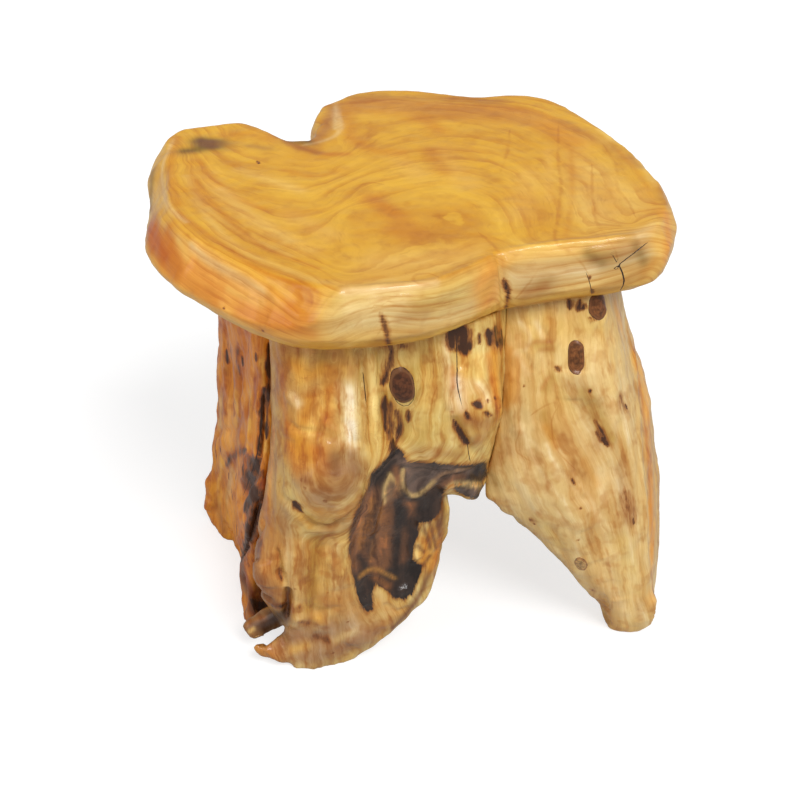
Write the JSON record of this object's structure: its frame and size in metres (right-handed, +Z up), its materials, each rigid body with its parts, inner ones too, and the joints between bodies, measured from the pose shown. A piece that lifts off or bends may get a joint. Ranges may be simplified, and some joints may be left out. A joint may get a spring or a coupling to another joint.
{
  "type": "stool",
  "caption": "Backless stool: a thick kidney-shaped live-edge seat slab on a carved base of root wood with spreading feet and an arched gap at the front.",
  "frame": {"origin": "middle of the whole stool's footprint box, on the floor", "axes": "+Z up out of the seat; +X to the right and +Y away, seen from the side with the arched gap"},
  "size_m": [0.49, 0.434, 0.45],
  "materials": {
    "seat_wood": "clear gloss lacquer",
    "trunk_wood": "clear gloss lacquer",
    "pale_root_wood": "clear gloss lacquer",
    "bark_side_wood": "clear gloss lacquer",
    "knot_wood": "clear gloss lacquer",
    "dowel_wood": "bare"
  },
  "bodies": {
    "root": {"seat_slab": "seat_wood", "trunk": "trunk_wood", "left_root": "bark_side_wood", "right_root": "pale_root_wood", "back_root": "trunk_wood", "front_knot": "knot_wood", "side_knot": "knot_wood", "upper_knot": "knot_wood", "foot_knot": "knot_wood", "seat_dowel_front": "dowel_wood", "seat_dowel_heart": "dowel_wood", "seat_dowel_left": "dowel_wood", "seat_dowel_right": "dowel_wood", "seat_dowel_back": "dowel_wood", "left_root_dowel_upper": "dowel_wood", "left_root_dowel_lower": "dowel_wood", "right_root_dowel_upper": "dowel_wood", "right_root_dowel_lower": "dowel_wood", "back_root_dowel_upper": "dowel_wood", "back_root_dowel_lower": "dowel_wood"}
  },
  "joints": []
}
